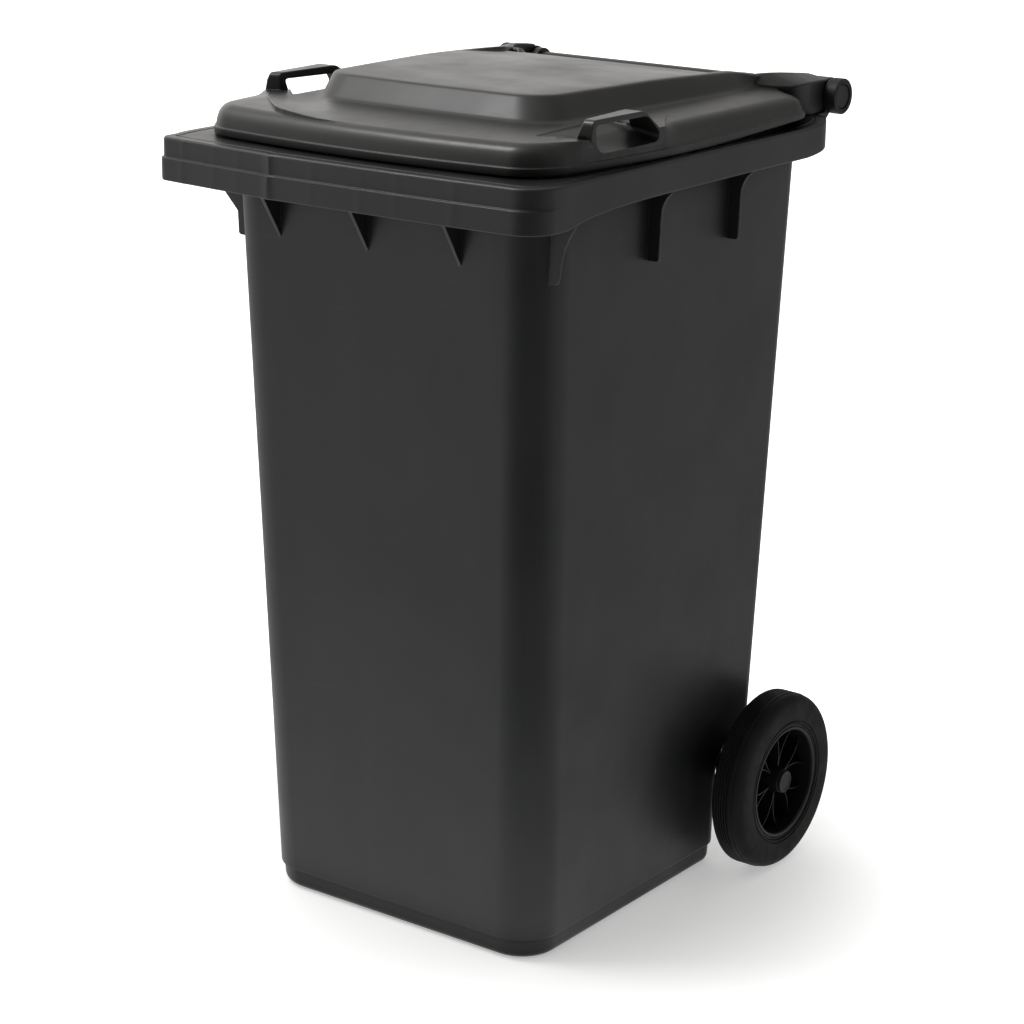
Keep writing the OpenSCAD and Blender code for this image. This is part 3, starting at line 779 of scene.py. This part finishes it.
def tyre(side, material):
    """Solid rubber tyre: grooved inner tread, a plain band, round shoulders and a bead line."""
    outer, inner = TYRE_HIGH[0], TYRE_LOW[0]
    r = (TYRE_HIGH[2] - TYRE_LOW[2]) / 2
    bead = 80
    profile = [(inner, bead), (inner + 0.6, bead + 14)]
    profile += [(inner + 0.2, r - 12)] + arc_points(inner + 7, r - 7, 7, -88, -12, 6)
    x = inner + 7.5
    for _ in range(GROOVES):
        profile += [(x, r), (x + 0.5, r - 0.3), (x + 0.7, r - 2.0), (x + 1.7, r - 2.0), (x + 1.9, r - 0.3),
                    (x + 2.4, r)]
        x += GROOVE_PITCH
    profile += [(outer - 17.2, r), (outer - 16.6, r), (outer - 16.0, r - 0.9), (outer - 15.2, r - 1.1)]
    profile += arc_points(outer - 13.5, r - 14.2, 13.2, 0, 86, 10)
    profile += [(outer, r - 17), (outer, r - 24), (outer - 0.5, bead + 7), (outer - 0.5, bead + 5.2),
                (outer - 1.9, bead + 4.9), (outer - 2.1, bead + 3.4), (outer - 0.9, bead + 3.0),
                (outer - 0.7, bead + 1.2), (outer - 1.8, bead)]
    turned_piece(side, profile, AXLE, "tyre_rubber", "tyre", material, "wheel_" + SIDES[side],
                 160, 28)


def spoke(angle, bow):
    """Thin bowed blade from the hub to the rim ring."""
    points = []
    for t in np.linspace(0, 1, 13):
        r = SPOKE_FROM + (SPOKE_TO - SPOKE_FROM) * t
        turn = math.radians(angle) + bow * (0.02 + 0.30 * t ** 1.5)
        points.append((r * math.sin(turn), r * math.cos(turn)))
    pts = np.array(points)
    tangent = np.gradient(pts, axis=0)
    normal = np.column_stack([-tangent[:, 1], tangent[:, 0]]) / np.linalg.norm(tangent, axis=1)[:, None]
    outline = np.vstack([pts + normal * SPOKE_HALF, (pts - normal * SPOKE_HALF)[::-1]])
    outline = [(AXLE[1] + a, AXLE[2] + b) for a, b in outline]
    return slab("spoke", outline, 0, 262, 285, 0.5)


def latch_post(name, profile):
    """An upright round solid over the axle, at the latch: profile is (height above the axle, radius) pairs."""
    angles = [2 * math.pi * i / 48 for i in range(48)]
    return loft(name, [[(LATCH_X + r * math.cos(a), AXLE[1] + r * math.sin(a), AXLE[2] + z) for a in angles]
                       for z, r in profile])


def wheel_disc(side, material):
    """Plastic wheel: rim ring with a rolled edge, deep dish, hub, bowed spokes and latch tower."""
    face = WHEEL_FACE
    ring = [(262, 71.5), (263, 70.5), (face - 4, 70.9), (face - 1.4, 71.6), (face - 0.2, 72.8), (face, 74.2),
            (face - 0.3, 75.6), (face - 1.6, 76.4), (face - 1.8, 77.2), (face - 0.6, 77.8), (face - 0.6, 78.9),
            (face - 1.4, 79.9), (256.5, 79.9), (256.5, 77.5), (262, 77)]
    obj = lathe("wheel", ring, AXLE, 144)
    dish = [(262, 12), (262, 76), (266, 76), (266, 30), (267, 25), (270, 21.5), (270, 12)]
    hub = [(226, 11), (226, 19), (227, 20), (269, 20), (272, 18.4), (290, 16.6), (295.2, 15.8), (296, 15), (296, 11)]
    parts = [lathe("dish", dish, AXLE, 144), lathe("hub", hub, AXLE, 96)]
    for k in range(6):
        for bow in (-1, 1):
            parts.append(spoke(60 * k + 12, bow))
    parts.append(latch_post("tower", ((14, 9.5), (44.5, 9.5), (45.6, 9.1), (46, 8.6))))
    combine(obj, parts, "UNION")
    cuts = [bore(220, 294.5, AXLE, WHEEL_BORE), bore(293, 300, AXLE, 13)]
    cuts += [latch_post("chamber", ((low, r), (high, r))) for low, high, r in ((0, 30, 4.06), (23.5, 60, 6.5))]
    combine(obj, cuts, "DIFFERENCE")
    obj, name = on_side(side, obj), SIDES[side]
    finish_piece(obj, "wheel_disc_" + name, material, "wheel_" + name, ["wheel_rim_" + name])


# -------- small parts


def turned_piece(side, profile, centre, piece, node, material, body, segments=96, sharp=32):
    """A turned piece on the right, or its mirror image on the left, standing for the CAD node of that side."""
    obj, ending = on_side(side, lathe(piece, profile, centre, segments)), "_" + SIDES[side]
    finish_piece(obj, piece + ending, material, body, [node + ending], sharp)


def hub_cap(side, material):
    """Round cover over the end of the axle, with a lowered face."""
    face, r = WHEEL_FACE, 15.2
    profile = [(294.6, 0.01), (294.6, 12.8), (296, 12.9), (296, r - 0.5), (296.5, r), (face - 1.6, r)]
    profile += arc_points(face - 1.6, r - 1.6, 1.6, 10, 80, 4)
    profile += [(face, r - 2.4), (face - 0.3, r - 3.4), (face - 0.9, r - 4), (face - 0.9, 0.01)]
    turned_piece(side, profile, AXLE, "hub_cover", "hub_cap", material, "wheel_" + SIDES[side])


def hinge_pin(side, material):
    """Hollow hinge pin: a shaft through ear and eye, and a round head with a dished face."""
    r, x0, x1 = EYE_R, OUTER_EAR[1], PIN_FACE
    profile = [(200, 5), (200, 8.2), (201.5, 9), (x0, 9), (x0, r - 0.8), (x0 + 0.8, r)]
    profile += arc_points(x1 - 1.6, r - 1.6, 1.6, 0, 90, 5)
    profile += [(x1, r - 3.4), (x1 - 0.9, r - 3.8), (x1 - 0.9, r - 4.6), (x1, r - 5.0), (x1, r - 6.2),
                (x1 - 1.4, r - 7), (x1 - 4, r - 7), (x1 - 4, 5)]
    turned_piece(side, profile, HINGE, "hinge_pin_head", "hinge_pin", material, "body")


def hinge_plug(side, material):
    """Stopper in the hollow pin, with a domed disc that shows in the middle of the pin's head."""
    seat = PIN_FACE - 4
    profile = [(202, 0.01), (202, 4.6), (203, 5), (seat, 5), (seat, 15), (seat + 0.5, 15.5), (seat + 1.6, 15.5)]
    profile += arc_points(seat + 1.5, 14.4, 1.0, 20, 90, 3)
    profile += [(seat + 2.4, 6), (seat + 2.1, 0.01)]
    turned_piece(side, profile, HINGE, "hinge_plug_cover", "hinge_plug", material, "body")


# -------- materials


class Graph:
    """Short calls for building one node tree."""

    def __init__(self, tree):
        self.tree = tree

    def node(self, kind, **settings):
        made = self.tree.nodes.new(kind)
        for key, value in settings.items():
            setattr(made, key, value)
        return made

    def link(self, source, target):
        if isinstance(source, (int, float)):
            target.default_value = source
        else:
            self.tree.links.new(source, target)

    def math(self, operation, a, b):
        made = self.node("ShaderNodeMath", operation=operation)
        self.link(a, made.inputs[0])
        self.link(b, made.inputs[1])
        return made.outputs[0]

    def plus(self, a, b):
        return self.math("ADD", a, b)

    def times(self, a, b):
        return self.math("MULTIPLY", a, b)

    def ramp(self, value, low, high, out_low=0.0, out_high=1.0):
        """Maps low to high onto out_low to out_high, held at both ends."""
        made = self.node("ShaderNodeMapRange", interpolation_type="SMOOTHSTEP")
        for key, number in (("From Min", low), ("From Max", high), ("To Min", out_low), ("To Max", out_high)):
            made.inputs[key].default_value = number
        self.link(value, made.inputs["Value"])
        return made.outputs[0]

    def mix(self, share, a, b):
        """A colour between a and b, each a socket or three numbers."""
        made = self.node("ShaderNodeMix", data_type="RGBA")
        self.link(share, made.inputs["Factor"])
        for socket, colour in ((made.inputs["A"], a), (made.inputs["B"], b)):
            if isinstance(colour, tuple):
                socket.default_value = (*colour, 1)
            else:
                self.link(colour, socket)
        return made.outputs["Result"]

    def facing(self, direction, azimuth, start, stop):
        """Goes from 0 to 1 as the cosine between a level azimuth and a direction socket goes from start to stop."""
        dot = self.node("ShaderNodeVectorMath", operation="DOT_PRODUCT")
        dot.inputs[1].default_value = (math.sin(azimuth), -math.cos(azimuth), 0)
        self.link(direction, dot.inputs[0])
        return self.ramp(dot.outputs["Value"], start, stop)

    def blend(self, share, a, b):
        """The number a where share is 0 and b where it is 1; each may be a socket."""
        kept = self.times(self.math("SUBTRACT", 1.0, share), a)
        return self.plus(kept, self.times(share, b))

    def show(self, usual, ray, special, output):
        """Puts out the usual shader, except to rays of one kind, such as camera rays."""
        pick = self.node("ShaderNodeMixShader")
        self.link(self.node("ShaderNodeLightPath").outputs[ray], pick.inputs[0])
        self.link(usual, pick.inputs[1])
        self.link(special, pick.inputs[2])
        self.link(pick.outputs[0], self.tree.nodes[output].inputs["Surface"])


class Surface(Graph):
    """A material, whose patterns are placed on the object itself."""

    def __init__(self, name):
        self.material = bpy.data.materials.new(name)
        self.material.use_nodes = True
        super().__init__(self.material.node_tree)
        self.shader = self.tree.nodes["Principled BSDF"]
        self.place = self.node("ShaderNodeTexCoord").outputs["Object"]

    def stretched(self, scale):
        """The place on the object, scaled along each axis."""
        made = self.node("ShaderNodeMapping")
        made.inputs["Scale"].default_value = scale
        self.link(self.place, made.inputs["Vector"])
        return made.outputs[0]

    def noise(self, scale, detail=3.0, rough=0.55, place=None, distort=0.0):
        made = self.node("ShaderNodeTexNoise")
        made.inputs["Scale"].default_value = scale
        made.inputs["Detail"].default_value = detail
        made.inputs["Roughness"].default_value = rough
        made.inputs["Distortion"].default_value = distort
        self.link(place or self.place, made.inputs["Vector"])
        return made.outputs["Fac"]

    def bump(self, height, strength, distance, base=None):
        made = self.node("ShaderNodeBump")
        made.inputs["Strength"].default_value = strength
        made.inputs["Distance"].default_value = distance
        self.link(height, made.inputs["Height"])
        if base:
            self.link(base, made.inputs["Normal"])
        return made.outputs["Normal"]

    def soft_edges(self, radius):
        made = self.node("ShaderNodeBevel", samples=6)
        made.inputs["Radius"].default_value = radius
        return made.outputs[0]

    def openness(self, reach):
        """0 deep in a corner and 1 out in the open, over reach in metres."""
        made = self.node("ShaderNodeAmbientOcclusion", samples=6)
        made.inputs["Distance"].default_value = reach
        return made.outputs["AO"]

    def finish(self, colour, roughness, normal, specular, metallic=0.0):
        self.link(colour, self.shader.inputs["Base Color"])
        self.link(roughness, self.shader.inputs["Roughness"])
        self.link(normal, self.shader.inputs["Normal"])
        self.link(specular, self.shader.inputs["Specular IOR Level"])
        self.shader.inputs["Metallic"].default_value = metallic
        return self.material


def moulded_plastic(name, dark, light, rough=(0.32, 0.42), grain=0.25, edge=0.0016, gleam=0.5):
    """Moulded polyethylene: fine grain, faint upright flow streaks, mottled gloss, rubbed edges that are lighter
    partly as a painted edge highlight, and painted shade that darkens the colour and lowers the shine in corners.
    """
    g = Surface(name)
    cloud = g.noise(5, 4)
    streak = g.noise(1, 4, 0.6, g.stretched((34, 34, 1.6)))
    speck = g.noise(420, 2, 0.6)
    tone = g.plus(g.times(cloud, 0.6), g.times(streak, 0.4))
    colour = g.mix(g.ramp(tone, 0.36, 0.64), dark, light)
    edges = g.soft_edges(edge)
    turn = g.node("ShaderNodeVectorMath", operation="DOT_PRODUCT")
    g.link(edges, turn.inputs[0])
    g.link(g.node("ShaderNodeNewGeometry").outputs["Normal"], turn.inputs[1])
    # Lighter grey on the edges: partly rubbed wear, partly a painted highlight along the edges; scratches add real
    # wear
    rub_and_edge_highlight = g.times(g.ramp(turn.outputs["Value"], 0.995, 0.94), g.ramp(g.noise(60, 5, 0.7), 0.35, 0.60))
    scratch = g.ramp(g.noise(1, 6, 0.75, g.stretched((9, 60, 420)), 0.4), 0.63, 0.70)
    wear_and_edge_highlight = g.math("MAXIMUM", g.times(rub_and_edge_highlight, 0.45), g.times(scratch, 0.10))
    colour = g.mix(wear_and_edge_highlight, colour, (0.11, 0.11, 0.108))
    gloss = g.plus(g.ramp(g.noise(9, 5, 0.6), 0.3, 0.7, *rough), g.times(speck, 0.06))
    gloss = g.plus(gloss, g.times(wear_and_edge_highlight, 0.15))
    waves = g.bump(g.noise(7, 2), 0.12, 0.004, edges)
    normal = g.bump(g.noise(900, 3, 0.6), grain, 0.00012, waves)
    # Painted shade: in corners, creases and under overhangs the colour turns near black and the shine drops; this is
    # 0 deep in a corner and 1 in the open
    free_of_painted_shade = g.ramp(g.openness(0.085), 0.40, 0.86)
    colour = g.mix(free_of_painted_shade, (0.006, 0.006, 0.0058), colour)
    shine_with_painted_shade = g.plus(g.times(free_of_painted_shade, 0.75 * gleam), 0.25 * gleam)
    return g.finish(colour, gloss, normal, shine_with_painted_shade)


def tyre_rubber():
    """Matt black rubber with a dusty bloom and fine moulding texture."""
    g = Surface("tyre_rubber")
    dust = g.ramp(g.noise(24, 6, 0.65), 0.42, 0.75)
    colour = g.mix(g.times(dust, 0.5), (0.0105, 0.0104, 0.0102), (0.022, 0.0216, 0.0208))
    rough = g.ramp(g.noise(50, 4), 0.3, 0.7, 0.50, 0.64)
    normal = g.bump(g.noise(700, 4, 0.7), 0.35, 0.00018, g.soft_edges(0.0008))
    return g.finish(colour, rough, normal, 0.1)


def steel(name, colour_low, colour_high):
    """Bright zinc plating: brushed round the bar, with a mottled, slightly dulled surface."""
    g = Surface(name)
    brush = g.noise(1, 3, 0.6, g.stretched((900, 60, 60)))
    spot = g.noise(140, 5, 0.65)
    colour = g.mix(g.ramp(spot, 0.3, 0.72), colour_low, colour_high)
    rough = g.plus(g.ramp(spot, 0.3, 0.7, 0.24, 0.40), g.times(brush, 0.08))
    normal = g.bump(brush, 0.15, 0.00005, g.soft_edges(0.0004))
    return g.finish(colour, rough, normal, 0.5, 1.0)


def repaint(nodes, material):
    """Gives CAD nodes that stay on show their finish."""
    for name in nodes:
        mesh = frame["nodes"][name].data
        mesh.materials.clear()
        mesh.materials.append(material)


# -------- assembly

body_plastic = moulded_plastic("body_plastic", (0.0062, 0.0069, 0.0072), (0.0092, 0.0098, 0.0100))
lid_plastic = moulded_plastic("lid_plastic", (0.0115, 0.0116, 0.0114), (0.0160, 0.0159, 0.0154), (0.28, 0.38))
black_plastic = moulded_plastic("black_plastic", (0.0095, 0.0095, 0.0094), (0.0140, 0.0139, 0.0136),
                                (0.36, 0.48), 0.2, 0.0008, 0.3)
cap_plastic = moulded_plastic("cap_plastic", (0.011, 0.0113, 0.0115), (0.0155, 0.0157, 0.0158),
                              (0.38, 0.48), 0.2, 0.0008, 0.25)
rubber = tyre_rubber()
zinc = steel("zinc_steel", (0.46, 0.46, 0.47), (0.68, 0.68, 0.67))
spring_wire = steel("spring_steel", (0.30, 0.30, 0.31), (0.48, 0.48, 0.48))

bin_body(body_plastic)
lid(lid_plastic)
for side, name in SIDES.items():
    tyre(side, rubber)
    wheel_disc(side, black_plastic)
    hub_cap(side, cap_plastic)
    hinge_pin(side, black_plastic)
    hinge_plug(side, cap_plastic)
    repaint(["wheel_latch_" + name, "latch_cap_" + name], cap_plastic)
    repaint(["axle_washer_" + name], zinc)
    repaint(["latch_spring_" + name], spring_wire)
repaint(["axle"], zinc)


# -------- stage

CAMERA_AZIMUTH = math.radians(36.2465)
CAMERA_ELEVATION = math.radians(16.9288)
CAMERA_ROLL = math.radians(0.7162)
CAMERA_PLACE = (2.0486, -2.7939, 1.5491)
CAMERA_LENS = 97.57

# Brightness of what lights the bin and of what its plastic mirrors; 1 is white
ROOM_LEFT = 0.85
ROOM_RIGHT = 0.34
ROOM_GLOW = 0.71
ROOM_DARK = 0.07
FLOOR_NEAR = 1.0
FLOOR_FAR = 0.66
FLOOR_DARK = 0.04
FLOOR_RIGHT = 0.62
GLOW_AZIMUTH = math.radians(239)


def add_camera():
    sa, ca = math.sin(CAMERA_AZIMUTH), math.cos(CAMERA_AZIMUTH)
    se, ce = math.sin(CAMERA_ELEVATION), math.cos(CAMERA_ELEVATION)
    back = Vector((sa * ce, -ca * ce, se))
    right = Vector((ca, sa, 0))
    up = back.cross(right)
    cr, sr = math.cos(CAMERA_ROLL), math.sin(CAMERA_ROLL)
    across, above = right * cr + up * sr, up * cr - right * sr
    data = bpy.data.cameras.new("camera")
    data.sensor_width = 36
    data.lens = CAMERA_LENS
    camera = add_object("camera", data)
    camera.matrix_world = Matrix((across, above, back)).transposed().to_4x4()
    camera.location = CAMERA_PLACE
    bpy.context.scene.camera = camera


def add_area(name, azimuth, elevation, distance, size, radiance, target=(0, 0, 0.6)):
    """A square soft light of a given brightness, aimed at target from an azimuth and elevation in degrees."""
    a, e = math.radians(azimuth), math.radians(elevation)
    away = Vector((math.sin(a) * math.cos(e), -math.cos(a) * math.cos(e), math.sin(e)))
    data = bpy.data.lights.new(name, "AREA")
    data.size = size
    data.energy = radiance * math.pi * size * size
    light = add_object(name, data)
    light.location = Vector(target) + away * distance
    light.rotation_mode = "QUATERNION"
    light.rotation_quaternion = away.to_track_quat("Z", "Y")


def add_world():
    """White for the camera; for light, a pale room, bright at the left and back, dark behind the camera."""
    world = bpy.data.worlds.new("studio")
    bpy.context.scene.world = world
    world.use_nodes = True
    g = Graph(world.node_tree)
    sky = g.tree.nodes["Background"]
    plain = g.node("ShaderNodeBackground")
    direction = g.node("ShaderNodeTexCoord").outputs["Generated"]
    height = g.node("ShaderNodeSeparateXYZ")
    g.link(direction, height.inputs[0])
    right = g.facing(direction, CAMERA_AZIMUTH + math.pi / 2, -0.35, 0.45)
    room = g.blend(right, ROOM_LEFT, ROOM_RIGHT)
    room = g.blend(g.facing(direction, CAMERA_AZIMUTH, 0.3, 0.85), room, ROOM_DARK)
    low = g.ramp(height.outputs["Z"], 0.3, 0.75, 1, 0)
    glow = g.times(g.facing(direction, GLOW_AZIMUTH, 0.72, 0.98), g.times(low, ROOM_GLOW))
    g.link(g.plus(room, glow), sky.inputs["Strength"])
    sky.inputs["Color"].default_value = (1, 0.985, 0.965, 1)
    plain.inputs["Color"].default_value = (1, 1, 1, 1)
    g.show(sky.outputs[0], "Is Camera Ray", plain.outputs[0], "World Output")


def add_floor():
    """Plain white floor, which also glows to the camera as a painted glow that is weaker next to the bin, so it
    shows darker round the bin. What the glossy plastic mirrors of it fades with distance, most on the camera's side.
    """
    mesh = bpy.data.meshes.new("floor")
    mesh.from_pydata([(-30, -30, 0), (30, -30, 0), (30, 30, 0), (-30, 30, 0)], [], [(0, 1, 2, 3)])
    floor = add_object("floor", mesh)
    g = Surface("floor")
    g.link(g.mix(g.noise(2), (0.90, 0.90, 0.90), (0.92, 0.92, 0.92)), g.shader.inputs["Base Color"])
    g.shader.inputs["Roughness"].default_value = 0.6
    g.shader.inputs["Specular IOR Level"].default_value = 0.15
    span = g.node("ShaderNodeVectorMath", operation="LENGTH")
    g.link(g.place, span.inputs[0])
    unit = g.node("ShaderNodeVectorMath", operation="NORMALIZE")
    g.link(g.place, unit.inputs[0])
    dark = g.facing(unit.outputs[0], CAMERA_AZIMUTH, 0.45, 0.95)
    right = g.facing(unit.outputs[0], CAMERA_AZIMUTH + math.pi / 2, 0.1, 0.9)
    lit = g.blend(g.ramp(span.outputs["Value"], 0.35, 1.4), FLOOR_NEAR, g.blend(dark, FLOOR_FAR, FLOOR_DARK))
    lit = g.times(lit, g.blend(right, 1.0, FLOOR_RIGHT))
    sweep = g.node("ShaderNodeEmission")
    g.link(lit, sweep.inputs["Strength"])
    g.shader.inputs["Emission Color"].default_value = (1, 1, 1, 1)
    # Painted glow: the floor glows to the camera, least next to the bin and fully further out
    g.link(g.ramp(span.outputs["Value"], 0.26, 0.78, 0.38, 1.05), g.shader.inputs["Emission Strength"])
    g.show(g.shader.outputs[0], "Is Glossy Ray", sweep.outputs[0], "Material Output")
    mesh.materials.append(g.material)


add_camera()
add_world()
add_floor()
add_area("key", -50, 62, 3.2, 0.9, 12)
add_area("fill", -66, 46, 3.6, 2.2, 1.0)
bpy.context.scene.view_settings.view_transform = "Standard"
